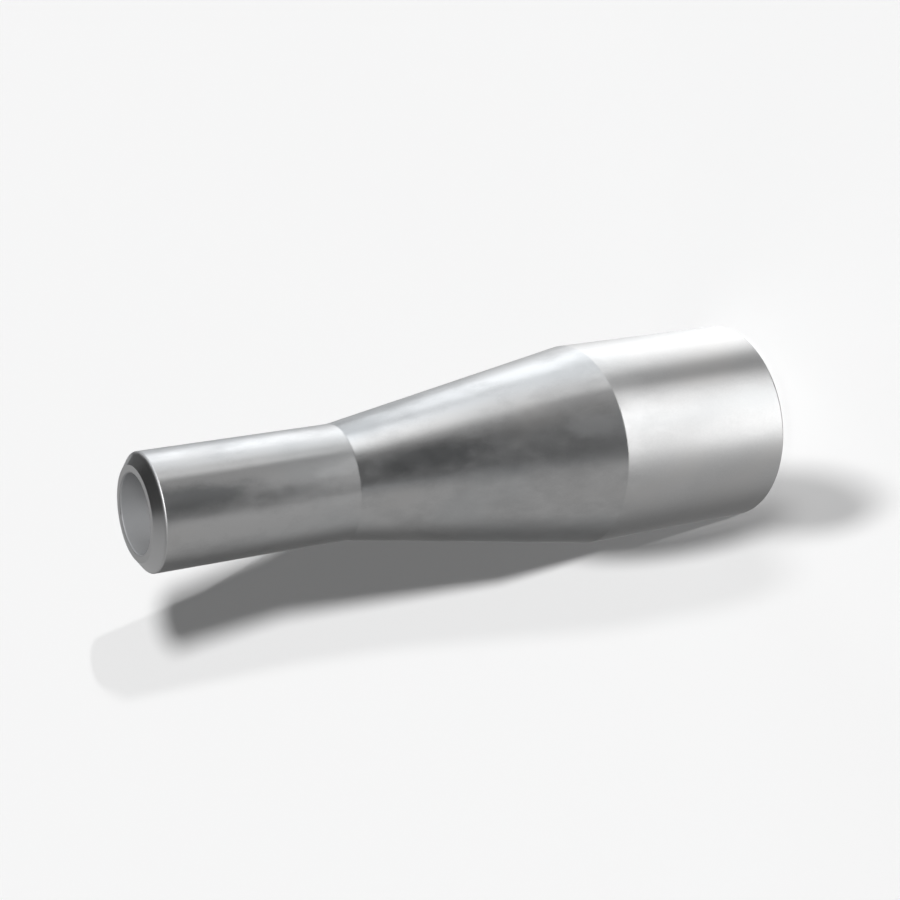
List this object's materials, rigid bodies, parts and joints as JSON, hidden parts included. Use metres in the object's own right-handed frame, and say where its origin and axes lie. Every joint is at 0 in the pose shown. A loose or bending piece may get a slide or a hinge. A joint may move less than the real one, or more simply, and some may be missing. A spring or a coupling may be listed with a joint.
{
  "type": "swage nipple",
  "caption": "Straight steel reducing nipple that joins a wide pipe to a narrow one: two plain cylinders joined by a long cone, with bevelled ends for butt welding.",
  "frame": {"origin": "centre of the large end's face, on which the part stands", "axes": "+Z along the pipe axis, from the large end up to the small end; the part is round, so X and Y are free"},
  "size_m": [0.0603, 0.0602, 0.2],
  "materials": {
    "bare_steel": "satin bare steel, drawn and swaged, with faint clouding"
  },
  "bodies": {
    "root": {"swage_nipple": "bare_steel"}
  },
  "joints": []
}
